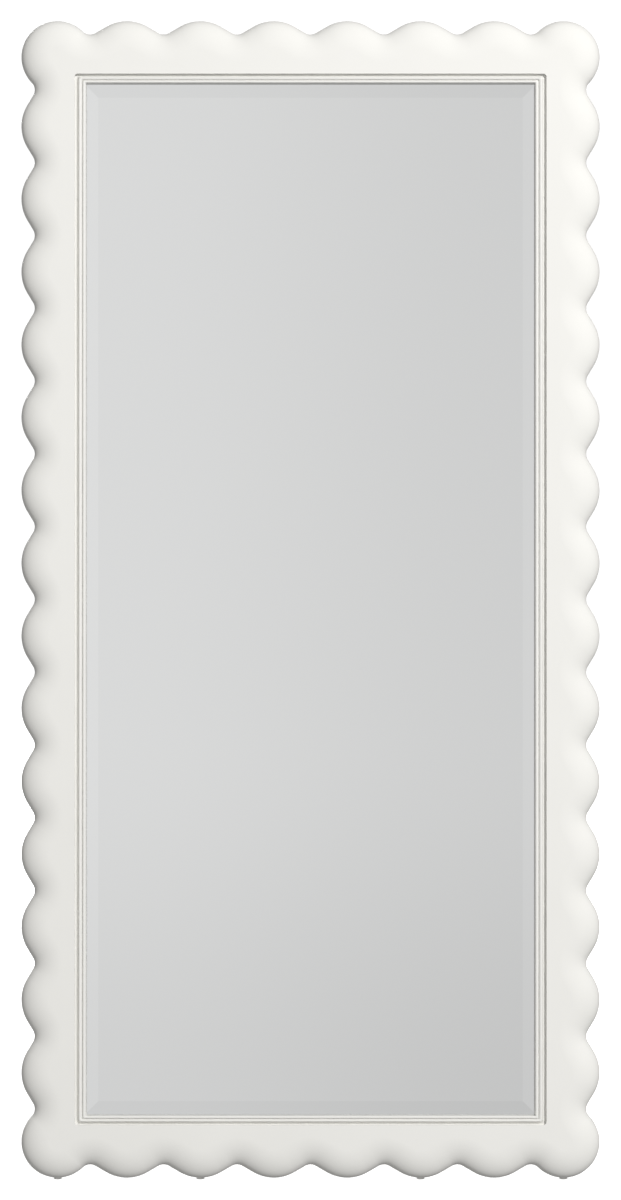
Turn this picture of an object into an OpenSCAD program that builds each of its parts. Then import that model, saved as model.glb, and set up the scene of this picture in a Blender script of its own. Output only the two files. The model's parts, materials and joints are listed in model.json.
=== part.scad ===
// Scalloped floor mirror: a mitred, sculpted frame round a bevelled mirror plate,
// leaning back on a fold-out tubular stand.

/* [Frame] */
// Width across the outer crests
frame_w = 1016; // [900:2:1150]
// Height across the outer crests
frame_h = 2032; // [1900:2:2150]
// Depth of the frame members, front to back
frame_t = 45; // [40:1:55]
// Lean of the mirror back from upright, in degrees
lean = 8; // [6:0.5:10]

/* [Scallops] */
// Whole lobes between the corner lobes, across the top and the bottom
lobes_across = 6; // [6:1:7]
// Whole lobes between the corner lobes, up each side
lobes_up = 14; // [13:1:15]
// Radius of the round lobe on each corner
corner_r = 63.5; // [60:0.5:66]
// Radius of the crest of each lobe
crest_r = 72; // [68:0.5:74]
// Radius at the bottom of each valley
valley_r = 19; // [17:0.5:20]
// Depth of a valley below the crests
valley_depth = 23.3; // [22:0.1:24]
// How far in from the outline the soft rounding runs
round_w = 50; // [44:1:54]
// How far back from the face the soft rounding runs
round_d = 25; // [20:1:28]

/* [Face and rabbets] */
// Width of the face from the crests to the reeded moulding
border = 94; // [92:0.5:96]
// Depth of the shoulder that the reeded moulding is glued on
shoulder_y = 10; // [9.5:0.5:10.5]
// Inset of the wall round the mirror plate
glass_wall = 104; // [103:0.5:106]
// Depth of the rear shoulder that the backing board is screwed to
board_y = 19; // [18:0.5:20]
// Inset of the wall round the backing board
board_wall = 91; // [89:0.5:92]

/* [Reeded moulding] */
// Width of the moulding strips up the sides
strip_side_w = 21.2; // [20:0.2:23]
// Width of the moulding strips across the top and the bottom
strip_rail_w = 17.2; // [16.4:0.2:19]
// Height of each reed above its feet
reed_rise = 3.4; // [2.8:0.1:3.8]

/* [Mirror plate and backing] */
// Depth of the mirror plate's front, behind the face
glass_y = 12; // [11.5:0.1:12.5]
// How far the moulding's lip reaches behind the plate's front, over the bevel
lip_drop = 1.5; // [1:0.1:1.5]
// Thickness of the mirror plate
glass_t = 5; // [4:0.5:5]
// Width of the plate's bevel
bevel_w = 30; // [25:1:32]
// Drop of the bevel at the plate's edge
bevel_drop = 2.5; // [2:0.1:3]
// Gap between the plate's edge and its wall
glass_gap = 1.5; // [1:0.1:2]
// Thickness of the backing board
board_t = 5; // [4:0.5:6]
// Gap between the board's edge and its wall
board_gap = 0.5; // [0.3:0.1:1]

/* [Stand] */
// Height of the stand's pivot, measured up the frame
pivot_up = 1300; // [1250:5:1350]
// Distance from the frame's back to the pivot
pivot_off = 22; // [21:0.5:24]
// Rake of the open stand from upright, in degrees
stand_rake = 6; // [5:0.5:7]
// Distance from the middle to each leg
leg_x = 446; // [440:1:448]
// Outer diameter of the stand's tube
tube_d = 22; // [20:1:22]
// Wall of the stand's tube
tube_wall = 1.5; // [1.2:0.1:2]
// Centre-line radius of the stand's two bends
bend_r = 60; // [50:5:80]
// Diameter of each pivot bolt's shank
bolt_d = 8; // [6:1:10]
// Clearance all round each pivot bolt
bolt_clear = 0.05; // [0.03:0.01:0.1]

/* [Feet] */
// Diameter of the glides under the bottom lobes
glide_d = 14; // [12:1:14]
// Height of each glide
glide_h = 9; // [8:0.5:10]
// How far the glides stand below the frame's lowest edge
glide_proud = 1.5; // [1:0.1:2]
// Outer diameter of the rubber sleeves on the stand's bar
sleeve_d = 28; // [26:1:30]
// Length of each rubber sleeve
sleeve_len = 70; // [50:5:90]

/* [Back hardware] */
// Thickness of the steel corner plates
plate_t = 2; // [1.5:0.5:2.5]
// Thickness of the pivot brackets' sheet
bracket_t = 3; // [2.5:0.5:3]
// Height of the hangers' ring pivots, measured up the frame
hanger_up = 1640; // [1600:5:1700]
// Distance from the middle to each tip restraint
restraint_x = 258; // [200:1:300]
// Diameter of the hole in each tip restraint
restraint_hole_d = 6.5; // [6:0.5:7]

/* [Hidden] */
$fn = 64;

// Steps of the faceted outline
corner_steps = 8;
crest_steps = 6;
valley_steps = 4;
round_steps = 6;
reed_steps = 6;
cove_steps = 6;

// Least gap between a foot and the end of its edge, and how far a cut runs past what it cuts
foot_margin = 1;
overcut = 1;

// Scallop geometry: depth of a valley arc's centre, place of the first valley, turn of a corner lobe
valley_c = valley_depth - valley_r;
first_valley = corner_r + sqrt(pow(corner_r + valley_r, 2) - pow(corner_r - valley_c, 2));
corner_turn = acos((corner_r - valley_c) / (corner_r + valley_r));

// Section of a member inside the face: inset and depth of each corner
inner_section = [
    [border, 0], [border, shoulder_y], [glass_wall, shoulder_y],
    [glass_wall, board_y], [board_wall, board_y], [board_wall, frame_t]
];

// Reeded moulding: fractions of its width and depths at which its cove and reeds meet
cove_foot = 0.03;
cove_y = 8.6;
reed_one = 0.335;
reed_one_y = 4.6;
reed_two = 0.64;
reed_two_y = 6.2;
reed_end = 0.96;
reed_end_y = 6.6;
lip_edge_y = 12.8;
lip_y = glass_y + lip_drop;
step_back = (glass_wall - border) / strip_rail_w;

// Mirror plate, cushion and board
glass_edge = glass_wall + glass_gap;
cushion_t = board_y - glass_y - glass_t;
board_edge = board_wall + board_gap;
board_screw_inset = (board_wall + glass_wall) / 2;
board_screws_up = 7;
board_screws_across = 4;

// Loose tongues in the mitres
spline_w = 50;
spline_reach = 20;
spline_t = 4;
spline_y = 29;
spline_inset = 58;

// Rubber pads under and beside the mirror plate
pad_len = 60;

// Place of the leaning frame over the floor
toe_lift = glide_proud + frame_t * sin(lean);
pivot_y = frame_t + pivot_off;
pivot_rear = pivot_y * cos(lean) + pivot_up * sin(lean);
pivot_z = toe_lift - pivot_y * sin(lean) + pivot_up * cos(lean);
leg_len = (pivot_z - sleeve_d / 2) / cos(stand_rake);
front_y = round_d * cos(lean) + round_w * sin(lean) - norm([round_d * cos(lean), round_w * sin(lean)]);
rear_y = pivot_rear + leg_len * sin(stand_rake) + sleeve_d / 2;
origin_y = -(front_y + rear_y) / 2;
glide_y = 34;
glide_pitch = (frame_w - 2 * first_valley) / lobes_across;

// Stand: how far each leg runs above its pivot before it meets the bracket
spread = lean + stand_rake;
stop_gap = 0.2;
tube_r = tube_d / 2;
leg_stub = (pivot_off - bracket_t - tube_r * cos(spread) - stop_gap) / sin(spread);
plug_cap = 2;
plug_stem = 12;
sleeve_x = 300;

// Pivot brackets and their fasteners
ear_gap = tube_d + 2;
ear_r = 14;
ear_out = ear_gap / 2 + bracket_t;
bracket_w = 44;
bracket_h = 100;
bracket_screw_x = 14;
bracket_screw_z = 38;
washer_t = 0.7;
washer_d = 18;
bolt_head_d = 15;
bolt_head_h = 5;
nut_af = 13;
nut_h = 7;
bolt_tail = 10;

// Corner plates
corner_plate_inset = 40;
corner_plate_w = 24;
corner_plate_len = 92;

// Hangers: strap, barrel and wire ring
strap_w = 20;
strap_h = 50;
strap_t = 1.5;
barrel_r = 3.8;
barrel_off = 4;
barrel_w = 14;
ring_r = 15;
ring_side = 8;
bar_r = 2;
wire_r = 2.2;
ring_clear = 0.05;

// Tip restraints: sheet angle with one hole
restraint_w = 32;
restraint_leg = 28;
restraint_t = 2;
restraint_inset = 60;
restraint_hole_off = 16;
restraint_screw_x = 9;

// Fasteners: head diameter, head height, shank diameter, length under the head
board_screw = [7.5, 2, 3.5, 12];
plate_screw = [8, 2.2, 4, 12];
hanger_screw = [8, 2.2, 4, 25];
bracket_screw = [9, 2.6, 4.8, 28];

// ---- placing ----

module leaned() {
    translate([0, origin_y, toe_lift]) rotate([-lean, 0, 0]) children();
}

module both_sides() {
    children();
    mirror([1, 0, 0]) children();
}

module four_corners() {
    both_sides() {
        children();
        translate([0, 0, frame_h]) mirror([0, 0, 1]) children();
    }
}

// Tilted frame of the open stand, with its origin on the pivots' axis
module on_stand() {
    translate([0, origin_y + pivot_rear, pivot_z]) rotate([stand_rake, 0, 0]) children();
}

// ---- scalloped members ----

// Stations along an arc of the outline: centre, signed radius and outward lean
function arc_stations(ca, cd, r, from, to, steps, first = 0, last = 0) =
    [for (i = [first : steps - last]) [ca, cd, r, from + (to - from) * i / steps]];

// Lean at which a crest runs into its straight flank
function flank_turn(half) =
    atan2(half, crest_r - valley_c) - acos((crest_r + valley_r) / norm([half, crest_r - valley_c]));

// All stations of one side, from its mitre at the start to its mitre at the end
function side_stations(len, lobes) =
    let (pitch = (len - 2 * first_valley) / lobes, turn = flank_turn(pitch / 2))
    concat(
        arc_stations(corner_r, corner_r, corner_r, -45, corner_turn, corner_steps, last = 1),
        [for (i = [0 : lobes]) each concat(
            arc_stations(
                first_valley + i * pitch, valley_c, -valley_r,
                i == 0 ? corner_turn : turn, i == lobes ? -corner_turn : -turn, valley_steps
            ),
            i == lobes ? [] : arc_stations(
                first_valley + (i + 0.5) * pitch, crest_r, crest_r, -turn, turn, crest_steps
            )
        )],
        arc_stations(len - corner_r, corner_r, corner_r, -corner_turn, 45, corner_steps, first = 1)
    );

// Point of a station at a given inset from the outline and depth from the face
function inset_point(st, inset, y) =
    [st[0] + (st[2] - inset) * sin(st[3]), y, st[1] - (st[2] - inset) * cos(st[3])];

// Triangles from a hub to each step along a rim
function fan(hub, rim) = [for (i = [0 : len(rim) - 2]) [hub, rim[i], rim[i + 1]]];

function turned(list) = [for (i = [len(list) - 1 : -1 : 0]) list[i]];

// Feet on a straight edge at inset wall, square to the stations of a row: station and place along
function feet(sts, inset, wall, len) =
    [for (k = [0 : len(sts) - 1]) let (along = inset_point(sts[k], inset, 0)[0])
        if (along > wall + foot_margin && along < len - wall - foot_margin) [k, along]];

// Faces between a row of stations and a straight edge with its start, its end and its feet
function fringe(row, count, start, end, first_foot, feet) =
    let (n = len(feet), near = feet[0][0], far = feet[n - 1][0])
    concat(
        [for (k = [0 : near - 1]) [row + k, start, row + k + 1]],
        [[row + near, start, first_foot]],
        [for (j = [0 : n - 2])
            [row + near + j, first_foot + j, first_foot + j + 1, row + near + j + 1]],
        [[row + far, first_foot + n - 1, end]],
        [for (k = [far : count - 2]) [row + k, end, row + k + 1]]
    );

// One member along +X with its outline on Z = 0, both ends mitred
module member(len, lobes) {
    sts = side_stations(len, lobes);
    rows = concat(
        [[0, frame_t]],
        [for (i = [0 : round_steps])
            [round_w * (1 - cos(90 * i / round_steps)), round_d * (1 - sin(90 * i / round_steps))]]
    );
    ns = len(sts);
    nr = len(rows);
    ni = len(inner_section);
    inner = nr * ns;
    face_feet = feet(sts, round_w, border, len);
    back_feet = feet(sts, 0, board_wall, len);
    face_foot = inner + 2 * ni;
    back_foot = face_foot + len(face_feet);
    points = concat(
        [for (row = rows) for (st = sts) inset_point(st, row[0], row[1])],
        [for (p = inner_section) each [[p[0], p[1], p[0]], [len - p[0], p[1], p[0]]]],
        [for (f = face_feet) [f[1], 0, border]],
        [for (f = back_feet) [f[1], frame_t, board_wall]]
    );
    starts = concat([for (r = [0 : nr - 1]) r * ns], [for (j = [0 : ni - 1]) inner + 2 * j]);
    ends = concat([for (r = [1 : nr]) r * ns - 1], [for (j = [0 : ni - 1]) inner + 2 * j + 1]);
    caps = nr + ni;
    hub = caps - 2;
    face_rim = [for (j = [len(face_feet) - 1 : -1 : 0]) face_foot + j];
    back_rim = [for (j = [0 : len(back_feet) - 1]) back_foot + j];
    back_fringe = fringe(0, ns, starts[caps - 1], ends[caps - 1], back_foot, back_feet);
    faces = concat(
        [for (r = [0 : nr - 2]) for (k = [0 : ns - 2])
            [r * ns + k, (r + 1) * ns + k, (r + 1) * ns + k + 1, r * ns + k + 1]],
        fringe((nr - 1) * ns, ns, starts[nr], ends[nr], face_foot, face_feet),
        [for (f = back_fringe) turned(f)],
        fan(starts[nr + 1], concat([ends[nr + 1], ends[nr]], face_rim, [starts[nr]])),
        [for (j = [1 : ni - 3])
            [starts[nr + j], starts[nr + j + 1], ends[nr + j + 1], ends[nr + j]]],
        fan(starts[hub], concat([starts[caps - 1]], back_rim, [ends[caps - 1], ends[hub]])),
        fan(starts[hub], [for (i = [caps - 1 : -1 : 1]) starts[(hub + i) % caps]]),
        fan(ends[hub], [for (i = [1 : caps - 1]) ends[(hub + i) % caps]])
    );
    polyhedron(points = points, faces = faces, convexity = 12);
}

// Loose tongue across one mitre, in the lower left corner of the frame
module spline() {
    translate([spline_inset - frame_w / 2, spline_y, spline_inset]) rotate([0, -45, 0])
        translate([-spline_w / 2, 0, -spline_reach]) cube([spline_w, spline_t, 2 * spline_reach]);
}

module rail_blank() {
    difference() {
        translate([-frame_w / 2, 0, 0]) member(frame_w, lobes_across);
        both_sides() spline();
    }
}

module stile_blank() {
    difference() {
        translate([-frame_w / 2, 0, 0]) mirror([1, 0, -1]) member(frame_h, lobes_up);
        spline();
        translate([0, 0, frame_h]) mirror([0, 0, 1]) spline();
    }
}

module stile_left() {
    color("ivory") leaned() stile_blank();
}

module stile_right() {
    color("ivory") leaned() mirror([1, 0, 0]) stile_blank();
}

module rail_top() {
    color("ivory") leaned() translate([0, 0, frame_h]) mirror([0, 0, 1]) rail_blank();
}

// The underside is bored for the glides
module rail_bottom() {
    color("ivory") difference() {
        leaned() rail_blank();
        glide_places() translate([0, 0, -glide_h]) cylinder(d = glide_d, h = 2 * glide_h);
    }
}

module mitre_splines() {
    color("burlywood") leaned() four_corners() spline();
}

// ---- glides ----

module glide_places() {
    for (x = [frame_w / 2 - corner_r, 1.5 * glide_pitch])
        both_sides() translate([x, origin_y + glide_y * cos(lean), 0]) children();
}

module floor_glides() {
    color("white") glide_places() cylinder(d = glide_d, h = glide_h);
}

// ---- reeded moulding ----

// The cove rises ever more steeply from the foot of the face's edge to the first reed
cove = [
    for (i = [0 : cove_steps]) let (t = i / cove_steps)
        [cove_foot + (reed_one - cove_foot) * t, cove_y + (reed_one_y - cove_y) * pow(t, 3)]
];

// One reed after its first foot: from and to as fractions of the strip's width and depths
function reed(f0, y0, f1, y1) =
    [for (i = [1 : reed_steps]) let (a = 180 * i / reed_steps, t = (1 - cos(a)) / 2)
        [f0 + (f1 - f0) * t, y0 + (y1 - y0) * t - reed_rise * sin(a)]];

strip_section = concat(
    [[0, 0]],
    cove,
    reed(reed_one, reed_one_y, reed_two, reed_two_y),
    reed(reed_two, reed_two_y, reed_end, reed_end_y),
    [[1, lip_edge_y], [1, lip_y], [step_back, lip_y], [step_back, shoulder_y], [0, shoulder_y]]
);

// Waste beyond the mitre at a strip's start
module mitre_waste(own_w, cross_w) {
    translate([border, 0, border]) rotate([0, -atan2(own_w, cross_w), 0])
        translate([-strip_side_w, -overcut, 0])
            cube([3 * strip_side_w, lip_y + 2 * overcut, 2 * strip_side_w]);
}

// A strip along +X; its width is own_w and that of the strips it meets is cross_w
module strip(len, own_w, cross_w) {
    difference() {
        translate([border, 0, 0]) rotate([90, 0, 90]) linear_extrude(len - 2 * border)
            polygon([for (p = strip_section) [p[1], border + own_w * p[0]]]);
        mitre_waste(own_w, cross_w);
        translate([len, 0, 0]) mirror([1, 0, 0]) mitre_waste(own_w, cross_w);
    }
}

module side_strip() {
    translate([-frame_w / 2, 0, 0]) mirror([1, 0, -1]) strip(frame_h, strip_side_w, strip_rail_w);
}

module rail_strip() {
    translate([-frame_w / 2, 0, 0]) strip(frame_w, strip_rail_w, strip_side_w);
}

module sight_moulding_left() {
    color("floralwhite") leaned() side_strip();
}

module sight_moulding_right() {
    color("floralwhite") leaned() mirror([1, 0, 0]) side_strip();
}

module sight_moulding_top() {
    color("floralwhite") leaned() translate([0, 0, frame_h]) mirror([0, 0, 1]) rail_strip();
}

module sight_moulding_bottom() {
    color("floralwhite") leaned() rail_strip();
}

// ---- mirror plate and what holds it ----

// A sheet at a given inset from the crests, between two depths
module sheet(inset, y, t) {
    translate([inset - frame_w / 2, y, inset]) cube([frame_w - 2 * inset, t, frame_h - 2 * inset]);
}

module mirror_plate() {
    color("silver") leaned() hull() {
        sheet(glass_edge + bevel_w, glass_y, glass_t);
        sheet(glass_edge, glass_y + bevel_drop, glass_t - bevel_drop);
    }
}

module setting_pads() {
    color("black") leaned() both_sides()
        translate([frame_w / 4 - glass_edge, glass_y + bevel_drop, glass_wall])
            cube([pad_len, glass_t - bevel_drop, glass_gap]);
}

module side_spacers() {
    color("gray") leaned() both_sides() for (z = [frame_h / 4, frame_h * 3 / 4])
        translate([frame_w / 2 - glass_edge, glass_y + bevel_drop, z])
            cube([glass_gap, glass_t - bevel_drop, pad_len]);
}

module cushion_sheet() {
    color("whitesmoke") leaned() sheet(glass_edge, glass_y + glass_t, cushion_t);
}

// Places of the board's screws, on the middle of the rear shoulder
module board_screw_places() {
    x = frame_w / 2 - board_screw_inset;
    step_z = (frame_h - 2 * board_screw_inset) / board_screws_up;
    step_x = 2 * x / board_screws_across;
    both_sides() for (i = [0.5 : board_screws_up])
        translate([x, board_y + board_t, board_screw_inset + i * step_z]) children();
    for (i = [0.5 : board_screws_across]) for (z = [board_screw_inset, frame_h - board_screw_inset])
        translate([i * step_x - x, board_y + board_t, z]) children();
}

module backing_board() {
    color("peru") leaned() difference() {
        sheet(board_edge, board_y, board_t);
        board_screw_places() rotate([90, 0, 0]) translate([0, 0, -1])
            cylinder(d = board_screw[2] + 0.5, h = board_t + 2);
    }
}

// Wood screw driven towards -Y, with its head resting on Y = 0
module screw(dims) {
    rotate([-90, 0, 0]) cylinder(d = dims[0], h = dims[1]);
    rotate([90, 0, 0]) cylinder(d = dims[2], h = dims[3]);
}

module backing_screws() {
    color("goldenrod") leaned() board_screw_places() screw(board_screw);
}

// ---- corner plates ----

module corner_plate_holes() {
    mid = corner_plate_inset + corner_plate_w / 2;
    for (reach = [0.45, 0.85]) {
        far = corner_plate_inset + corner_plate_len * reach;
        translate([mid - frame_w / 2, frame_t + plate_t, far]) children();
        translate([far - frame_w / 2, frame_t + plate_t, mid]) children();
    }
}

module corner_plates() {
    color("silver") leaned() four_corners() difference() {
        translate([corner_plate_inset - frame_w / 2, frame_t, corner_plate_inset]) union() {
            cube([corner_plate_len, plate_t, corner_plate_w]);
            cube([corner_plate_w, plate_t, corner_plate_len]);
        }
        corner_plate_holes() rotate([90, 0, 0]) translate([0, 0, -1])
            cylinder(d = plate_screw[2] + 0.5, h = plate_t + 2);
    }
}

module corner_plate_screws() {
    color("darkgray") leaned() four_corners() corner_plate_holes() screw(plate_screw);
}

// ---- stand pivots ----

module bracket_holes() {
    for (x = [-bracket_screw_x, bracket_screw_x]) for (z = [-bracket_screw_z, bracket_screw_z])
        translate([leg_x + x, frame_t + bracket_t, pivot_up + z]) children();
}

// Sheet-steel channel: a base on the frame's back and two ears round the tube
module pivot_bracket() {
    leaned() difference() {
        union() {
            translate([leg_x - bracket_w / 2, frame_t, pivot_up - bracket_h / 2])
                cube([bracket_w, bracket_t, bracket_h]);
            for (x = [-ear_gap / 2 - bracket_t, ear_gap / 2])
                translate([leg_x + x, 0, pivot_up]) {
                    translate([0, frame_t, -ear_r]) cube([bracket_t, pivot_off, 2 * ear_r]);
                    translate([0, pivot_y, 0]) rotate([0, 90, 0]) cylinder(r = ear_r, h = bracket_t);
                }
        }
        translate([leg_x - ear_gap, pivot_y, pivot_up]) rotate([0, 90, 0])
            cylinder(r = bolt_d / 2 + bolt_clear, h = 2 * ear_gap);
        bracket_holes() rotate([90, 0, 0]) translate([0, 0, -1])
            cylinder(d = bracket_screw[2] + 0.5, h = bracket_t + 2);
    }
}

module pivot_bracket_left() {
    color("gainsboro") mirror([1, 0, 0]) pivot_bracket();
}

module pivot_bracket_right() {
    color("gainsboro") pivot_bracket();
}

module bracket_screws() {
    color("darkgray") leaned() both_sides() bracket_holes() screw(bracket_screw);
}

// Places on the pivots' axis, turned so that +Z points outboard
module pivot_places() {
    leaned() both_sides() translate([leg_x, pivot_y, pivot_up]) rotate([0, 90, 0]) children();
}

module pivot_bolts() {
    color("silver") pivot_places() {
        translate([0, 0, -ear_out - bolt_tail]) cylinder(d = bolt_d, h = 2 * ear_out + bolt_tail);
        translate([0, 0, ear_out]) cylinder(d = bolt_head_d, h = bolt_head_h);
    }
}

module pivot_nuts() {
    color("darkgray") pivot_places() translate([0, 0, -ear_out - nut_h]) difference() {
        cylinder(d = nut_af / cos(30), h = nut_h, $fn = 6);
        translate([0, 0, -1]) cylinder(d = bolt_d, h = nut_h + 2);
    }
}

module pivot_washers() {
    color("white") pivot_places() for (z = [-ear_gap / 2, ear_gap / 2 - washer_t])
        translate([0, 0, z]) difference() {
            cylinder(d = washer_d, h = washer_t);
            translate([0, 0, -1]) cylinder(r = bolt_d / 2 + bolt_clear, h = washer_t + 2);
        }
}

// ---- hangers ----

module hanger_screw_places() {
    for (z = [0.4, 0.8])
        translate([leg_x, frame_t + strap_t, hanger_up + strap_h * z]) children();
}

module hanger_plates() {
    color("silver") leaned() both_sides() difference() {
        union() {
            translate([leg_x - strap_w / 2, frame_t, hanger_up + barrel_r])
                cube([strap_w, strap_t, strap_h - barrel_r]);
            translate([leg_x - barrel_w / 2, frame_t, hanger_up]) cube([barrel_w, strap_t, strap_h / 2]);
            translate([leg_x - barrel_w / 2, frame_t + barrel_off, hanger_up]) rotate([0, 90, 0])
                cylinder(r = barrel_r, h = barrel_w);
        }
        translate([leg_x - barrel_w, frame_t + barrel_off, hanger_up]) rotate([0, 90, 0])
            cylinder(r = bar_r + ring_clear, h = 2 * barrel_w);
        hanger_screw_places() rotate([90, 0, 0]) translate([0, 0, -1])
            cylinder(d = hanger_screw[2] + 0.5, h = strap_t + 2);
    }
}

module hanger_screws() {
    color("darkgray") leaned() both_sides() hanger_screw_places() screw(hanger_screw);
}

// Wire ring hanging straight down from the barrel's axis
module hanger_ring() {
    ring_y = (frame_t + barrel_off) * cos(lean) + hanger_up * sin(lean);
    ring_z = toe_lift - (frame_t + barrel_off) * sin(lean) + hanger_up * cos(lean);
    translate([leg_x, origin_y + ring_y, ring_z]) {
        translate([-ring_r, 0, 0]) rotate([0, 90, 0]) cylinder(r = bar_r, h = 2 * ring_r);
        for (x = [-ring_r, ring_r])
            translate([x, 0, -ring_side]) cylinder(r = wire_r, h = ring_side + wire_r);
        translate([0, 0, -ring_side]) rotate([90, 0, 0]) rotate([0, 0, 180])
            rotate_extrude(angle = 180) translate([ring_r, 0]) circle(r = wire_r);
    }
}

module hanger_ring_left() {
    color("silver") mirror([1, 0, 0]) hanger_ring();
}

module hanger_ring_right() {
    color("silver") hanger_ring();
}

// ---- tip restraints ----

module restraint_places() {
    leaned() both_sides() translate([restraint_x, frame_t, frame_h - restraint_inset]) children();
}

module restraint_screw_places() {
    for (x = [-restraint_screw_x, restraint_screw_x])
        translate([x, restraint_t, -restraint_leg * 0.6]) children();
}

module restraint_brackets() {
    color("gainsboro") restraint_places() difference() {
        translate([-restraint_w / 2, 0, 0]) {
            translate([0, 0, -restraint_leg]) cube([restraint_w, restraint_t, restraint_leg]);
            translate([0, 0, -restraint_t]) cube([restraint_w, restraint_leg, restraint_t]);
        }
        translate([0, restraint_hole_off, -2 * restraint_t])
            cylinder(d = restraint_hole_d, h = 3 * restraint_t);
        restraint_screw_places() rotate([90, 0, 0]) translate([0, 0, -1])
            cylinder(d = hanger_screw[2] + 0.5, h = restraint_t + 2);
    }
}

module restraint_screws() {
    color("darkgray") restraint_places() restraint_screw_places() screw(hanger_screw);
}

// ---- stand ----

module tube_section() {
    difference() {
        circle(r = tube_r);
        circle(r = tube_r - tube_wall);
    }
}

// One tube bent into a U, drilled for the pivot bolts
module stand_tube() {
    straight = leg_len - bend_r;
    color("gainsboro") on_stand() difference() {
        union() {
            both_sides() {
                translate([leg_x, 0, -straight]) linear_extrude(straight + leg_stub - plug_cap)
                    tube_section();
                translate([leg_x - bend_r, 0, -straight]) rotate([90, 0, 0]) rotate([0, 0, -90])
                    rotate_extrude(angle = 90) translate([bend_r, 0]) tube_section();
            }
            translate([bend_r - leg_x, 0, -leg_len]) rotate([0, 90, 0])
                linear_extrude(2 * (leg_x - bend_r)) tube_section();
        }
        both_sides() translate([leg_x - tube_d, 0, 0]) rotate([0, 90, 0])
            cylinder(r = bolt_d / 2 + bolt_clear, h = 2 * tube_d);
    }
}

module tube_plugs() {
    color("black") on_stand() both_sides() translate([leg_x, 0, leg_stub - plug_cap]) {
        cylinder(r = tube_r, h = plug_cap);
        translate([0, 0, -plug_stem]) cylinder(r = tube_r - tube_wall, h = plug_stem);
    }
}

module foot_sleeve() {
    on_stand() translate([sleeve_x - sleeve_len / 2, 0, -leg_len]) rotate([0, 90, 0]) difference() {
        cylinder(d = sleeve_d, h = sleeve_len);
        translate([0, 0, -1]) cylinder(r = tube_r, h = sleeve_len + 2);
    }
}

module foot_sleeve_left() {
    color("black") mirror([1, 0, 0]) foot_sleeve();
}

module foot_sleeve_right() {
    color("black") foot_sleeve();
}

stile_left();
stile_right();
rail_top();
rail_bottom();
mitre_splines();
sight_moulding_left();
sight_moulding_right();
sight_moulding_top();
sight_moulding_bottom();
mirror_plate();
setting_pads();
side_spacers();
cushion_sheet();
backing_board();
backing_screws();
corner_plates();
corner_plate_screws();
floor_glides();
pivot_bracket_left();
pivot_bracket_right();
bracket_screws();
pivot_bolts();
pivot_nuts();
pivot_washers();
hanger_plates();
hanger_screws();
hanger_ring_left();
hanger_ring_right();
restraint_brackets();
restraint_screws();
stand_tube();
tube_plugs();
foot_sleeve_left();
foot_sleeve_right();
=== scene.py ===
import json
import math

import bmesh
import bpy
import numpy as np
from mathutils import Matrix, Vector


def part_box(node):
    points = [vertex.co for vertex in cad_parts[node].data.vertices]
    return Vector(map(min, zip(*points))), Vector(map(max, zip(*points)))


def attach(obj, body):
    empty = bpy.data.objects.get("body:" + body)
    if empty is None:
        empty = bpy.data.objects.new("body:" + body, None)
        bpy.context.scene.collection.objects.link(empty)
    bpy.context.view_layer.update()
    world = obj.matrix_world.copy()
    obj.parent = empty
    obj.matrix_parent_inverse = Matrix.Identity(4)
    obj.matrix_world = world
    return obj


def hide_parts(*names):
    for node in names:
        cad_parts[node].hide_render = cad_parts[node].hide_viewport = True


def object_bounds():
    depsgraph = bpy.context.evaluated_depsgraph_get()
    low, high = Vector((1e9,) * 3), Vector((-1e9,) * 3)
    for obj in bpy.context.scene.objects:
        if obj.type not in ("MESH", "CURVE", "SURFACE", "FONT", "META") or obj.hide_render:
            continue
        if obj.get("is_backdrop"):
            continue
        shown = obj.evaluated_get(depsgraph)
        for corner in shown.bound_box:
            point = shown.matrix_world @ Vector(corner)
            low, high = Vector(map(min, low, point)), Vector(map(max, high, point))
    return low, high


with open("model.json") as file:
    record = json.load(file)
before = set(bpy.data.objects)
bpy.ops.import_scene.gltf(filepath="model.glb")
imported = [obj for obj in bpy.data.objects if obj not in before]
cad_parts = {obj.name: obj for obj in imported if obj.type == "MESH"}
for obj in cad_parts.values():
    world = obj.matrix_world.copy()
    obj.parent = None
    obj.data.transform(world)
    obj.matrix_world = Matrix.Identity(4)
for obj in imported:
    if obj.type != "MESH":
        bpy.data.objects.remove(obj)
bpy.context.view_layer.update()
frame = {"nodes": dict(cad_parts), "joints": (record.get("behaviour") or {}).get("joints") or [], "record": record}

# ---- sizes of the frame's shapes, in metres, as the CAD source has them ----

FRAME_DEPTH = 0.045
CORNER_R = 0.0635
CREST_R = 0.072
VALLEY_R = 0.019
VALLEY_DEPTH = 0.0233
LOBES_ACROSS = 6
LOBES_UP = 14
ROUND_W = 0.050
ROUND_D = 0.025
BACK_ARRIS = 0.0015
BORDER = 0.094
SHOULDER_Y = 0.010
GLASS_WALL = 0.104
BOARD_Y = 0.019
BOARD_WALL = 0.091
STRIP_SIDE_W = 0.0212
STRIP_RAIL_W = 0.0172
LIP_Y = 0.0135
STRIP_CORNER_R = 0.006
HIDDEN_CORNER_R = 0.0004
GLASS_Y = 0.012
GLASS_T = 0.005
BEVEL_W = 0.030
BEVEL_DROP = 0.0025
GLASS_ARRIS = 0.0004
RESTRAINT_DEPTH = 0.061
RESTRAINT_UP = 1.971
TUBE_R = 0.011
TUBE_BEND_R = 0.060
SLEEVE_R = 0.014

CORNER_STEPS = 26
CREST_STEPS = 20
VALLEY_STEPS = 12
ROUND_STEPS = 22
STRIP_CORNER_STEPS = 8
TURN = 2 * math.pi

RECORD = frame["record"]
X_AXIS = np.array([1.0, 0.0, 0.0])


# ---- the leaning frame's own axes ----

def mount(name):
    return next(m for m in RECORD["mounts"] if m["name"] == name)


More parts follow.
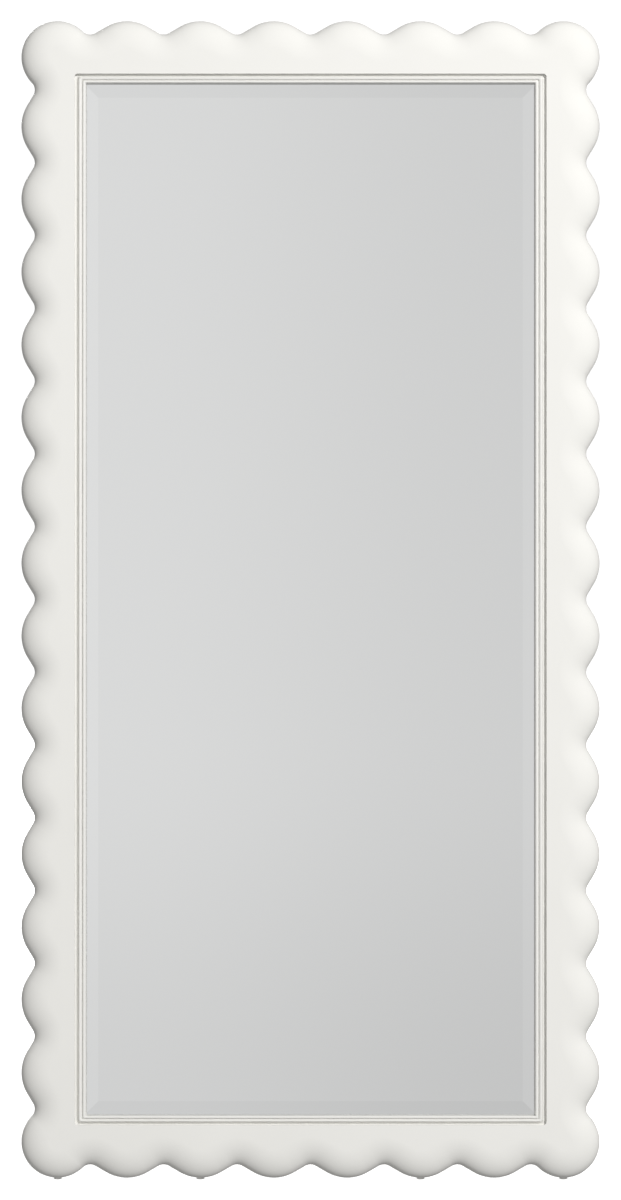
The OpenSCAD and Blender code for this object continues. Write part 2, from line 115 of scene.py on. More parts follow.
RESTRAINT = mount("restraint_right")
LEAN = math.atan2(RESTRAINT["axis"][1], RESTRAINT["axis"][2])
UP_AXIS = np.array([0.0, math.sin(LEAN), math.cos(LEAN)])
IN_AXIS = np.array([0.0, math.cos(LEAN), -math.sin(LEAN)])
ORIGIN = np.array([0.0, RESTRAINT["pos_m"][1], RESTRAINT["pos_m"][2]])
ORIGIN = ORIGIN - RESTRAINT_DEPTH * IN_AXIS - RESTRAINT_UP * UP_AXIS


def to_row(points):
    """Points across, into and up the leaning frame, as points in the row frame"""
    p = np.asarray(points, float).reshape(-1, 3)
    return ORIGIN + p[:, :1] * X_AXIS + p[:, 1:2] * IN_AXIS + p[:, 2:] * UP_AXIS


def turn_to_row(vectors):
    v = np.asarray(vectors, float).reshape(-1, 3)
    return v[:, :1] * X_AXIS + v[:, 1:2] * IN_AXIS + v[:, 2:] * UP_AXIS


def to_leaned(points):
    p = np.asarray(points, float).reshape(-1, 3) - ORIGIN
    return np.stack([p @ X_AXIS, p @ IN_AXIS, p @ UP_AXIS], axis=1)


def node_points(node):
    mesh = frame["nodes"][node].data
    co = np.zeros(len(mesh.vertices) * 3)
    mesh.vertices.foreach_get("co", co)
    return co.reshape(-1, 3)


LEANED_STILE = to_leaned(node_points("stile_right"))
LEANED_RAIL = to_leaned(node_points("rail_top"))
FRAME_W = 2 * LEANED_STILE[:, 0].max()
FRAME_H = LEANED_RAIL[:, 2].max()


def islands(node):
    """Corner points of the boxes of a node's separate solids, in the leaning frame's axes"""
    work = bmesh.new()
    work.from_mesh(frame["nodes"][node].data)
    bmesh.ops.remove_doubles(work, verts=work.verts, dist=1e-6)
    seen = set()
    found = []
    for start in work.verts:
        if start in seen:
            continue
        seen.add(start)
        group = [start]
        for v in group:
            for e in v.link_edges:
                other = e.other_vert(v)
                if other not in seen:
                    seen.add(other)
                    group.append(other)
        local = to_leaned([v.co[:] for v in group])
        found.append((local.min(0), local.max(0)))
    work.free()
    return found


# ---- mesh building ----

def face_normal(points):
    nxt = np.roll(points, -1, axis=0)
    total = np.cross(points, nxt).sum(0)
    size = np.linalg.norm(total)
    return total / size if size > 0 else np.array([0.0, 0.0, 1.0])


def signed_volume(points, faces):
    total = 0.0
    for f in faces:
        p = points[list(f)]
        total += (np.cross(p[1:-1], p[2:]) @ p[0]).sum()
    return total / 6


def new_piece(name, points, faces, body, slot, materials, normals=None, replaced=(), smooth=35):
    """A closed mesh with its faces turned outwards. normals, if given, has one unit normal a point,
    or None where the face's own is used, for each face in turn"""
    points = np.asarray(points, float)
    if signed_volume(points, faces) < 0:
        faces = [tuple(reversed(f)) for f in faces]
    mesh = bpy.data.meshes.new(name)
    mesh.from_pydata([tuple(p) for p in points], [], faces)
    mesh.validate()
    mesh.polygons.foreach_set("use_smooth", [True] * len(mesh.polygons))
    if normals is None:
        mesh.set_sharp_from_angle(angle=math.radians(smooth))
    else:
        loops = []
        for poly in mesh.polygons:
            ids = list(poly.vertices)
            own = face_normal(points[ids])
            for i in ids:
                analytic = normals[i]
                flat = analytic is None or np.dot(analytic, own) < 0.9
                loops.append(tuple(own if flat else analytic))
        mesh.normals_split_custom_set(loops)
    obj = bpy.data.objects.new(name, mesh)
    bpy.context.scene.collection.objects.link(obj)
    for m in materials:
        mesh.materials.append(m)
    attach(obj, body)
    if replaced:
        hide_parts(*replaced)
    return obj


# ---- node materials ----

class Shader:
    """A node material built up from a Principled BSDF, in metres of the row frame"""

    def __init__(self, name, **values):
        self.material = bpy.data.materials.new(name)
        self.material.use_nodes = True
        self.tree = self.material.node_tree
        self.tree.nodes.clear()
        self.out = self.tree.nodes.new("ShaderNodeOutputMaterial")
        self.bsdf = self.tree.nodes.new("ShaderNodeBsdfPrincipled")
        self.join(self.bsdf.outputs["BSDF"], self.out.inputs["Surface"])
        self.where = self.tree.nodes.new("ShaderNodeTexCoord").outputs["Object"]
        for key, value in values.items():
            self.bsdf.inputs[key.replace("_", " ")].default_value = value

    def join(self, a, b):
        self.tree.links.new(a, b)

    def stretched(self, factors):
        node = self.tree.nodes.new("ShaderNodeMapping")
        node.inputs["Scale"].default_value = factors
        self.join(self.where, node.inputs["Vector"])
        return node.outputs["Vector"]

    def noise(self, scale, detail=3.0, roughness=0.5, where=None, distortion=0.0):
        node = self.tree.nodes.new("ShaderNodeTexNoise")
        node.inputs["Scale"].default_value = scale
        node.inputs["Detail"].default_value = detail
        node.inputs["Roughness"].default_value = roughness
        node.inputs["Distortion"].default_value = distortion
        self.join(where or self.where, node.inputs["Vector"])
        return node.outputs["Fac"]

    def cells(self, scale):
        node = self.tree.nodes.new("ShaderNodeTexVoronoi")
        node.inputs["Scale"].default_value = scale
        self.join(self.where, node.inputs["Vector"])
        return node.outputs["Distance"]

    def span(self, value, low, high, start=0.0, end=1.0):
        node = self.tree.nodes.new("ShaderNodeMapRange")
        node.inputs["From Min"].default_value = start
        node.inputs["From Max"].default_value = end
        node.inputs["To Min"].default_value = low
        node.inputs["To Max"].default_value = high
        self.join(value, node.inputs["Value"])
        return node.outputs["Result"]

    def blend(self, fac, one, two):
        node = self.tree.nodes.new("ShaderNodeMix")
        node.data_type = "RGBA"
        for socket, colour in (("A", one), ("B", two)):
            place = next(i for i in node.inputs if i.name == socket and i.type == "RGBA")
            if isinstance(colour, tuple):
                place.default_value = (*colour, 1.0)
            else:
                self.join(colour, place)
        self.join(fac, node.inputs["Factor"])
        return next(o for o in node.outputs if o.type == "RGBA")

    def colour(self, source):
        self.join(source, self.bsdf.inputs["Base Color"])

    def roughness(self, source):
        self.join(source, self.bsdf.inputs["Roughness"])

    def bump(self, height, distance, strength=1.0):
        node = self.tree.nodes.new("ShaderNodeBump")
        node.inputs["Strength"].default_value = strength
        node.inputs["Distance"].default_value = distance
        self.join(height, node.inputs["Height"])
        if self.bsdf.inputs["Normal"].is_linked:
            self.join(self.bsdf.inputs["Normal"].links[0].from_socket, node.inputs["Normal"])
        self.join(node.outputs["Normal"], self.bsdf.inputs["Normal"])


def lacquer():
    """Satin off-white sprayed lacquer with a faint orange peel"""
    s = Shader("frame_lacquer", Specular_IOR_Level=0.5, Coat_Weight=0.25, Coat_Roughness=0.22)
    s.colour(s.blend(s.noise(9, 4), (0.745, 0.736, 0.703), (0.775, 0.766, 0.734)))
    s.roughness(s.span(s.noise(26, 3), 0.36, 0.44))
    s.bump(s.noise(520, 2, 0.4), 0.00001, 0.3)
    s.bump(s.noise(2600, 1), 0.000005, 0.3)
    return s.material


def silvered_glass():
    s = Shader("mirror_glass", Metallic=1.0)
    s.colour(s.blend(s.noise(3, 2), (0.955, 0.962, 0.960), (0.962, 0.968, 0.965)))
    s.roughness(s.span(s.noise(14, 3), 0.004, 0.012))
    return s.material


def glass_edge():
    s = Shader("glass_edge", Transmission_Weight=0.4, Roughness=0.2)
    s.colour(s.blend(s.noise(60, 3), (0.20, 0.42, 0.36), (0.32, 0.55, 0.48)))
    s.bump(s.noise(900, 3), 0.00005, 0.5)
    return s.material


def backing_paint():
    s = Shader("mirror_back_paint")
    s.colour(s.blend(s.noise(40, 4), (0.16, 0.17, 0.18), (0.21, 0.22, 0.23)))
    s.roughness(s.span(s.noise(120, 3), 0.5, 0.65))
    s.bump(s.noise(700, 3), 0.00008, 0.5)
    return s.material


def metal(name, dark, light, roughness, spangle=90, grain=1400, relief=0.00002):
    s = Shader(name, Metallic=1.0)
    s.colour(s.blend(s.noise(spangle, 4, 0.6), dark, light))
    s.roughness(s.span(s.noise(spangle * 3, 3), roughness - 0.06, roughness + 0.08))
    s.bump(s.noise(grain, 3), relief, 0.5)
    return s.material


def passivated(name):
    """Yellow zinc: gold with patches that lean to pink and green"""
    s = Shader(name, Metallic=1.0)
    gold = s.blend(s.noise(160, 3), (0.62, 0.46, 0.20), (0.72, 0.56, 0.27))
    tint = s.blend(s.noise(60, 2), (0.66, 0.44, 0.30), (0.52, 0.55, 0.28))
    s.colour(s.blend(s.span(s.noise(90, 2), 0.0, 0.5), gold, tint))
    s.roughness(s.span(s.noise(300, 3), 0.24, 0.36))
    s.bump(s.noise(1800, 2), 0.00002, 0.5)
    return s.material


def coated(name, dark, light, roughness, grain, relief):
    """Paint, plastic or rubber: one colour with a fine moulded or sprayed texture"""
    s = Shader(name)
    s.colour(s.blend(s.noise(30, 5, 0.6), dark, light))
    s.roughness(s.span(s.noise(70, 3), roughness - 0.05, roughness + 0.06))
    s.bump(s.noise(grain, 3), relief, 0.7)
    return s.material


def hardboard():
    """Brown pressed fibre with lighter strands and a faint screen texture"""
    s = Shader("backing_hardboard", Specular_IOR_Level=0.3)
    base = s.blend(s.noise(14, 6, 0.65), (0.185, 0.098, 0.048), (0.265, 0.150, 0.078))
    strands = s.noise(420, 4, 0.7, s.stretched((1.0, 1.0, 0.35)), 1.2)
    flecks = s.span(strands, 0.0, 0.55, 0.52, 0.78)
    s.colour(s.blend(flecks, base, (0.42, 0.27, 0.15)))
    s.roughness(s.span(s.noise(180, 3), 0.62, 0.80))
    s.bump(strands, 0.00018, 0.6)
    s.bump(s.cells(700), 0.00006, 0.4)
    return s.material


def card():
    s = Shader("cushion_card")
    fibre = s.noise(520, 5, 0.7, s.stretched((1.0, 1.0, 0.4)), 0.8)
    s.colour(s.blend(fibre, (0.56, 0.53, 0.47), (0.70, 0.68, 0.62)))
    s.roughness(s.span(fibre, 0.80, 0.92))
    s.bump(fibre, 0.0001, 0.6)
    return s.material


def spline_wood():
    s = Shader("spline_wood")
    grain = s.noise(60, 6, 0.6, s.stretched((1.0, 1.0, 0.06)), 0.5)
    s.colour(s.blend(grain, (0.42, 0.27, 0.14), (0.62, 0.44, 0.26)))
    s.roughness(s.span(grain, 0.55, 0.70))
    s.bump(grain, 0.00015, 0.7)
    return s.material


LACQUER = lacquer()
SILVERED = silvered_glass()
EDGE = glass_edge()
BACK_PAINT = backing_paint()
ZINC = metal("zinc_steel", (0.48, 0.49, 0.51), (0.62, 0.63, 0.65), 0.34)
ZINC_WIRE = metal("zinc_wire", (0.52, 0.53, 0.55), (0.66, 0.67, 0.69), 0.26, 140)
BRASS_ZINC = passivated("brass_zinc_screw")
POWDER = coated("white_powder_coat", (0.80, 0.795, 0.775), (0.84, 0.835, 0.815), 0.42, 1100, 0.00008)
NYLON = coated("white_nylon", (0.74, 0.735, 0.70), (0.80, 0.79, 0.76), 0.46, 1600, 0.00003)
RUBBER = coated("black_rubber", (0.018, 0.018, 0.019), (0.032, 0.032, 0.033), 0.72, 900, 0.0001)
PLASTIC = coated("black_plastic", (0.022, 0.022, 0.024), (0.032, 0.032, 0.034), 0.44, 1500, 0.00005)
HARDBOARD = hardboard()
CARD = card()
WOOD = spline_wood()


# ---- scalloped members ----

def side_stations(length, lobes):
    """Stations of one side's outline: an arc's centre, its signed radius and the outward lean"""
    valley_c = VALLEY_DEPTH - VALLEY_R
    reach = CORNER_R + VALLEY_R
    first_valley = CORNER_R + math.sqrt(reach ** 2 - (CORNER_R - valley_c) ** 2)
    corner_turn = math.acos((CORNER_R - valley_c) / reach)
    pitch = (length - 2 * first_valley) / lobes
    crest_rise = CREST_R - valley_c
    flank = math.atan2(pitch / 2, crest_rise)
    flank -= math.acos((CREST_R + VALLEY_R) / math.hypot(pitch / 2, crest_rise))
    found = []

    def arc(along, depth, radius, start, end, steps, skip_first=False, skip_last=False):
        for i in range(int(skip_first), steps + 1 - int(skip_last)):
            found.append((along, depth, radius, start + (end - start) * i / steps))

    arc(CORNER_R, CORNER_R, CORNER_R, -TURN / 8, corner_turn, CORNER_STEPS, skip_last=True)
    for i in range(lobes + 1):
        first = corner_turn if i == 0 else flank
        last = corner_turn if i == lobes else flank
        arc(first_valley + i * pitch, valley_c, -VALLEY_R, first, -last, VALLEY_STEPS)
        if i < lobes:
            arc(first_valley + (i + 0.5) * pitch, CREST_R, CREST_R, -flank, flank, CREST_STEPS)
    end_arc = (length - CORNER_R, CORNER_R, CORNER_R, -corner_turn, TURN / 8, CORNER_STEPS)
    arc(*end_arc, skip_first=True)
    return found


def outer_rows():
    """Inset, depth and normal (outwards, into the frame) of each row from the back's edge to the face"""
    rows = []
    for i in range(4):
        a = TURN / 4 * (1 - i / 3)
        inset = BACK_ARRIS * (1 - math.cos(a))
        rows.append((inset, FRAME_DEPTH - BACK_ARRIS * (1 - math.sin(a)), math.cos(a), math.sin(a)))
    for i in range(ROUND_STEPS + 1):
        a = TURN / 4 * i / ROUND_STEPS
        out, back = ROUND_D * math.cos(a), -ROUND_W * math.sin(a)
        size = math.hypot(out, back)
        rows.append((ROUND_W * (1 - math.cos(a)), ROUND_D * (1 - math.sin(a)), out / size, back / size))
    return rows


# Inset, depth and corner radius of each edge line inside the face
INNER_ROWS = [
    (BORDER, 0.0, STRIP_CORNER_R),
    (BORDER, SHOULDER_Y, STRIP_CORNER_R),
    (GLASS_WALL, SHOULDER_Y, HIDDEN_CORNER_R),
    (GLASS_WALL, BOARD_Y, HIDDEN_CORNER_R),
    (BOARD_WALL, BOARD_Y, HIDDEN_CORNER_R),
    (BOARD_WALL, FRAME_DEPTH - BACK_ARRIS, HIDDEN_CORNER_R),
    (BOARD_WALL - BACK_ARRIS, FRAME_DEPTH, HIDDEN_CORNER_R),
]


def rounded_run(length, start_inset, inset, radius):
    """Points (along, inset) of a straight edge line that ends in half a rounded corner each side"""
    points = []
    for i in range(STRIP_CORNER_STEPS + 1):
        a = TURN * (5 / 8 + i / (8 * STRIP_CORNER_STEPS))
        points.append((start_inset + radius * (1 + math.cos(a)), inset + radius * (1 + math.sin(a))))
    return points + [(length - a, d) for a, d in reversed(points)]


# For each side of the frame: the directions, in the leaning frame, of a member's length, its depth and its
# inset from the outline, and the place of its start
SEATS = {
    "bottom": ((1, 0, 0), (0, 1, 0), (0, 0, 1), (-FRAME_W / 2, 0, 0)),
    "top": ((1, 0, 0), (0, 1, 0), (0, 0, -1), (-FRAME_W / 2, 0, FRAME_H)),
    "left": ((0, 0, 1), (0, 1, 0), (1, 0, 0), (-FRAME_W / 2, 0, 0)),
    "right": ((0, 0, 1), (0, 1, 0), (-1, 0, 0), (FRAME_W / 2, 0, 0)),
}


def seated_vectors(side, vectors):
    return turn_to_row(np.array(vectors) @ np.array(SEATS[side][:3], float))


def seated_points(side, points):
    return to_row(np.array(points) @ np.array(SEATS[side][:3], float) + SEATS[side][3])


def member(side, kind, length, lobes):
    """One mitred member, built as (along, into, inset) points. kind is stile or rail"""
    stations = side_stations(length, lobes)
    rows = outer_rows()
    points, normals = [], []
    for inset, depth, out, back in rows:
        for along, centre, radius, lean in stations:
            reach = radius - inset
            points.append((along + reach * math.sin(lean), depth, centre - reach * math.cos(lean)))
            normals.append((out * math.sin(lean), back, -out * math.cos(lean)))
    count = len(stations)
    outer_total = len(points)
    for inset, depth, radius in INNER_ROWS:
        points += [(a, depth, d) for a, d in rounded_run(length, inset, inset, radius)]
    run = 2 * (STRIP_CORNER_STEPS + 1)
    faces = []
    for r in range(len(rows) - 1):
        for k in range(count - 1):
            a, b = r * count + k, (r + 1) * count + k
            faces.append((a, b, b + 1, a + 1))
    for r in range(len(INNER_ROWS) - 1):
        for k in range(run - 1):
            a = outer_total + r * run + k
            faces.append((a, a + run, a + run + 1, a + 1))
    face_row = (len(rows) - 1) * count
    last_inner = outer_total + (len(INNER_ROWS) - 1) * run
    faces.append((*range(face_row + count - 1, face_row - 1, -1), *range(outer_total, outer_total + run)))
    faces.append((*range(count), *range(last_inner + run - 1, last_inner - 1, -1)))
    starts = [r * count for r in range(len(rows))] + [outer_total + r * run for r in range(len(INNER_ROWS))]
    ends = [i + count - 1 for i in starts[:len(rows)]] + [i + run - 1 for i in starts[len(rows):]]
    faces.append(tuple(reversed(starts)))
    faces.append(tuple(ends))
    node = kind + "_" + side
    where = seated_points(side, points)
    row_normals = list(seated_vectors(side, normals)) + [None] * (len(points) - outer_total)
    look = ("mirror", "frame_lacquer", [LACQUER])
    return new_piece(node + "_sculpted", where, faces, *look, row_normals, (node,))


member("bottom", "rail", FRAME_W, LOBES_ACROSS)
member("top", "rail", FRAME_W, LOBES_ACROSS)
member("left", "stile", FRAME_H, LOBES_UP)
member("right", "stile", FRAME_H, LOBES_UP)


# ---- reeded moulding ----

def cove(f0, y0, f1, y1, steps=10):
    """Fractions and depths of the hollow that rises ever more steeply to the first reed"""
    points = []
    for i in range(steps + 1):
        t = i / steps
        points.append((f0 + (f1 - f0) * t, y0 + (y1 - y0) * t ** 3))
    return points


def reed(f0, y0, f1, y1, rise, steps=12):
    """Fractions and depths over one reed, steep at both of its feet"""
    points = []
    for i in range(steps + 1):
        u = -math.cos(TURN / 2 * i / steps)
        bulge = rise * math.sqrt(max(0.0, 1 - abs(u) ** 2.4))
        points.append((f0 + (f1 - f0) * (u + 1) / 2, y0 + (y1 - y0) * (u + 1) / 2 - bulge))
    return points


STRIP_PROFILE = [
    (0.0, 0.0), (0.008, 0.0003), (0.014, 0.0010), (0.018, 0.0070), (0.024, 0.0082),
    *cove(0.040, 0.0086, 0.335, 0.0046),
    *reed(0.335, 0.0046, 0.64, 0.0062, 0.0033)[1:],
    *reed(0.64, 0.0062, 0.96, 0.0066, 0.0038)[1:],
    (0.974, 0.0085), (0.985, 0.0120), (1.0, 0.0128), (1.0, LIP_Y),
]
STEP_BACK = (GLASS_WALL - BORDER) / STRIP_RAIL_W


def strip(side, length, own_w, cross_w):
    """One strip of the moulding, its ends turned through half of each rounded corner"""
    behind = [(STEP_BACK, LIP_Y), (STEP_BACK, SHOULDER_Y), (0.0, SHOULDER_Y)]
    points = []
    for f, depth in STRIP_PROFILE + behind:
        radius = HIDDEN_CORNER_R + (STRIP_CORNER_R - HIDDEN_CORNER_R) * (1 - f)
        run = rounded_run(length, BORDER + cross_w * f, BORDER + own_w * f, radius)
        points += [(a, depth, d) for a, d in run]
    lines = len(STRIP_PROFILE) + len(behind)
    run = 2 * (STRIP_CORNER_STEPS + 1)
    faces = []
    for r in range(lines):
        for k in range(run - 1):
            a, b = r * run + k, (r + 1) % lines * run + k
            faces.append((a, b, b + 1, a + 1))
    faces.append(tuple(r * run for r in reversed(range(lines))))
    faces.append(tuple(r * run + run - 1 for r in range(lines)))
    look = ("mirror", "frame_lacquer", [LACQUER])
    node = "sight_moulding_" + side
    return new_piece("reeding_" + side, seated_points(side, points), faces, *look, None, (node,), 50)


RAIL_STRIP = (FRAME_W, STRIP_RAIL_W, STRIP_SIDE_W)
SIDE_STRIP = (FRAME_H, STRIP_SIDE_W, STRIP_RAIL_W)
strip("bottom", *RAIL_STRIP)
strip("top", *RAIL_STRIP)
strip("left", *SIDE_STRIP)
strip("right", *SIDE_STRIP)


# ---- mirror plate ----

def plate():
    """Silvered plate: flat field, polished bevel, ground arris, green edge and painted back"""
    corners = to_leaned(node_points("mirror_plate"))
    low, high = corners.min(0), corners.max(0)
    rings = [
        (0.0, GLASS_Y + GLASS_T), (0.0, GLASS_Y + BEVEL_DROP + GLASS_ARRIS),
        (GLASS_ARRIS, GLASS_Y + BEVEL_DROP), (BEVEL_W, GLASS_Y),
    ]
    points = []
    for inset, depth in rings:
        x0, x1 = low[0] + inset, high[0] - inset
        z0, z1 = low[2] + inset, high[2] - inset
        points += [(x0, depth, z0), (x1, depth, z0), (x1, depth, z1), (x0, depth, z1)]
    faces = [(3, 2, 1, 0)]
    for r in range(len(rings) - 1):
        for k in range(4):
            a, b = 4 * r + k, 4 * r + (k + 1) % 4
            faces.append((a, b, b + 4, a + 4))
    last = 4 * (len(rings) - 1)
    faces.append((last, last + 1, last + 2, last + 3))
    made = new_piece(
        "mirror_plate_silvered", to_row(points), faces, "mirror", "mirror_glass",
        [SILVERED, EDGE, BACK_PAINT], None, ("mirror_plate",), 1,
    )
    made.data.polygons[0].material_index = 2
    for p in made.data.polygons[1:9]:
        p.material_index = 1
    return made


plate()


# ---- fasteners ----

def lathe(profile, steps, closed=False):
    """Points and faces of a profile of (radius, height) turned round +Z"""
    points = []
    for r, z in profile:
        ring = [(r * math.cos(TURN * i / steps), r * math.sin(TURN * i / steps), z) for i in range(steps)]
        points += ring
    faces = []
    rows = len(profile)
    for j in range(rows if closed else rows - 1):
        for i in range(steps):
            a, b = j * steps, (j + 1) % rows * steps
            faces.append((a + i, a + (i + 1) % steps, b + (i + 1) % steps, b + i))
    if not closed:
        faces.append(tuple(reversed(range(steps))))
        faces.append(tuple(range((rows - 1) * steps, rows * steps)))
    return np.array(points), faces


def plain_mesh(points, faces):
    mesh = bpy.data.meshes.new("work")
    if signed_volume(points, faces) < 0:
        faces = [tuple(reversed(f)) for f in faces]
    mesh.from_pydata([tuple(p) for p in points], [], faces)
    return mesh


def cut(points, faces, tool_points, tool_faces):
    """Points and faces of one closed shape with another taken out of it"""
    body = bpy.data.objects.new("cut_body", plain_mesh(points, faces))
    tool = bpy.data.objects.new("cut_tool", plain_mesh(tool_points, tool_faces))
    for o in (body, tool):
        bpy.context.scene.collection.objects.link(o)
    change = body.modifiers.new("cut", "BOOLEAN")
    change.operation = "DIFFERENCE"
    change.solver = "EXACT"
    change.object = tool
    graph = bpy.context.evaluated_depsgraph_get()
    mesh = bpy.data.meshes.new_from_object(body.evaluated_get(graph))
    got = np.array([v.co[:] for v in mesh.vertices])
    got_faces = [tuple(p.vertices) for p in mesh.polygons]
    for o in (body, tool):
        old = o.data
        bpy.data.objects.remove(o)
        bpy.data.meshes.remove(old)
    bpy.data.meshes.remove(mesh)
    return got, got_faces


def cross_tool(reach, width, top, depth):
    """A cross-shaped punch that narrows to its tip"""
    outline = []
    for q in range(4):
        c, s = math.cos(TURN / 4 * q), math.sin(TURN / 4 * q)
        for x, y in ((reach, -width), (reach, width), (width, width)):
            outline.append((x * c - y * s, x * s + y * c))
    levels = ((1.08, top + depth), (1.0, top), (0.45, top - depth))
    points = [(x * k, y * k, z) for k, z in levels for x, y in outline]
    n = len(outline)
    faces = [tuple(reversed(range(n))), tuple(range(2 * n, 3 * n))]
    for r in range(2):
        for i in range(n):
            a, b = r * n + i, r * n + (i + 1) % n
            faces.append((a, b, b + n, a + n))
    return np.array(points), faces


def screw_shape(head_r, head_h, shank_r, shank):
    """Pan-head wood screw along +Z with its head's underside at 0"""
    profile = [(0.0002, -shank), (shank_r * 0.9, -shank + 3 * shank_r), (shank_r, -shank + 5 * shank_r)]
    profile += [(shank_r, -0.0002), (shank_r * 1.1, 0.0), (head_r * 0.97, 0.0)]
    for i in range(7):
        a = TURN / 4 * i / 6
        profile.append((head_r * (0.25 + 0.75 * math.cos(a)), head_h * (0.30 + 0.70 * math.sin(a))))
    points, faces = lathe(profile, 32)
    return cut(points, faces, *cross_tool(head_r * 0.56, head_r * 0.095, head_h, head_h * 0.62))


def repeated(shape, frames):
    """One shape copied to each (place, x, y, z axes) frame, as one list of points and one of faces"""
    base, base_faces = shape
    points, faces = [], []
    for place, ax, ay, az in frames:
        start = sum(len(p) for p in points)
        points.append(place + base[:, :1] * ax + base[:, 1:2] * ay + base[:, 2:] * az)
        faces += [tuple(i + start for i in f) for f in base_faces]
    return np.concatenate(points), faces


SCREWS = {
    "backing_screws": (0.0020, 0.00175, BRASS_ZINC, "brass_zinc_screw"),
    "corner_plate_screws": (0.0022, 0.0020, ZINC_WIRE, "zinc_steel"),
    "bracket_screws": (0.0026, 0.0024, ZINC_WIRE, "zinc_steel"),
    "hanger_screws": (0.0022, 0.0020, ZINC_WIRE, "zinc_steel"),
    "restraint_screws": (0.0022, 0.0020, ZINC_WIRE, "zinc_steel"),
}
SCREW_TURN = 2.4

for screw_node, (head_h, shank_r, look, slot_name) in SCREWS.items():
    boxes = islands(screw_node)
    low, high = boxes[0]
    screw = screw_shape((high[0] - low[0]) / 2, head_h, shank_r, high[1] - low[1] - head_h)
    frames = []
    for number, (low, high) in enumerate(boxes):
        spot = ((low[0] + high[0]) / 2, high[1] - head_h, (low[2] + high[2]) / 2)
        c, s = math.cos(SCREW_TURN * number), math.sin(SCREW_TURN * number)
        ax = X_AXIS * c + UP_AXIS * s
        frames.append((to_row(spot)[0], ax, np.cross(IN_AXIS, ax), IN_AXIS))
    where, screw_faces = repeated(screw, frames)
    finish = ("mirror", slot_name, [look])
    new_piece(screw_node + "_driven", where, screw_faces, *finish, None, (screw_node,), 30)


GLIDE_DOME = 0.0014


def glides():
    """Nylon glides with low domes, let into the bottom lobes"""
    low, high = (np.array(v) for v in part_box("floor_glides"))
    radius, height = (high[1] - low[1]) / 2, high[2] - low[2]
    profile = []
    for i in range(1, 9):
        a = TURN / 4 * i / 8
        profile.append((radius * math.sin(a), GLIDE_DOME * (1 - math.cos(a))))
    profile.append((radius, height))
    frames = []
    for box_low, box_high in islands("floor_glides"):
        spot = to_row((box_low + box_high) / 2)[0]
        spot[2] = low[2]
        frames.append((spot, X_AXIS, np.array([0.0, 1.0, 0.0]), np.array([0.0, 0.0, 1.0])))
    shape = repeated(lathe(profile, 48), frames)
    new_piece("floor_glides_domed", *shape, "mirror", "white_nylon", [NYLON], None, ("floor_glides",), 50)


glides()


def pivot_frames(node):
    """Frames on the pivots' axis, +Z outboard, at each solid's outboard end"""
    found = []
    for low, high in islands(node):
        side = 1.0 if high[0] > 0 else -1.0
        spot = (high[0] if side > 0 else low[0], (low[1] + high[1]) / 2, (low[2] + high[2]) / 2)
        found.append((to_row(spot)[0], UP_AXIS, np.cross(side * X_AXIS, UP_AXIS), side * X_AXIS))
    return found


BOLT_HEAD_R = 0.0075
BOLT_HEAD_H = 0.005
BOLT_R = 0.004
NUT_AF = 0.013
NUT_H = 0.007


def bolt_shape(length):
    """Button-head bolt with a hexagon socket, its head's top at 0 and its shank along -Z"""
    chamfer = 0.0006
    profile = [(BOLT_R - chamfer, -length), (BOLT_R, -length + chamfer), (BOLT_R, -BOLT_HEAD_H)]
    profile += [(BOLT_HEAD_R * 0.96, -BOLT_HEAD_H), (BOLT_HEAD_R, -BOLT_HEAD_H * 0.92)]
    for i in range(1, 9):
        a = TURN / 4 * i / 8
        profile.append((BOLT_HEAD_R * (0.45 + 0.55 * math.cos(a)), -BOLT_HEAD_H * 0.86 * (1 - math.sin(a))))
    points, faces = lathe(profile, 48)
    socket = lathe([(0.0026, -0.0028), (0.0026, 0.001)], 6)
    return cut(points, faces, *socket)


def nut_shape():
    """Hexagon nut, its outboard face at 0, with both of its faces chamfered round the corners"""
    steps = 72
    flat_r = NUT_AF / 2
    points = []
    for i in range(steps):
        a = TURN * i / steps
        c, s = math.cos(a), math.sin(a)
        corner = (a + TURN / 12) % (TURN / 6) - TURN / 12
        hex_r = flat_r / math.cos(corner)
        fall = (hex_r - flat_r * 0.96) * math.tan(TURN / 12)
        for r, z in (
            (BOLT_R * 1.12, 0.0), (flat_r * 0.96, 0.0), (hex_r, -fall),
            (hex_r, -NUT_H + fall), (flat_r * 0.96, -NUT_H), (BOLT_R * 1.12, -NUT_H),
            (BOLT_R, -NUT_H * 0.92), (BOLT_R, -NUT_H * 0.08),
        ):
            points.append((r * c, r * s, z))
    faces = []
    rows = len(points) // steps
    for i in range(steps):
        for j in range(rows):
            a, b = i * rows, (i + 1) % steps * rows
            faces.append((a + j, b + j, b + (j + 1) % rows, a + (j + 1) % rows))
    return np.array(points), faces


bolt_low, bolt_high = islands("pivot_bolts")[0]
where, bolt_faces = repeated(bolt_shape(bolt_high[0] - bolt_low[0]), pivot_frames("pivot_bolts"))
bolt_finish = ("mirror", "zinc_steel", [ZINC_WIRE])
new_piece("pivot_bolts_turned", where, bolt_faces, *bolt_finish, None, ("pivot_bolts",), 30)
where, nut_faces = repeated(nut_shape(), pivot_frames("pivot_nuts"))
new_piece("pivot_nuts_forged", where, nut_faces, "mirror", "zinc_steel", [ZINC], None, ("pivot_nuts",), 25)


# ---- sweeps: the stand's tube and the hangers' rings ----

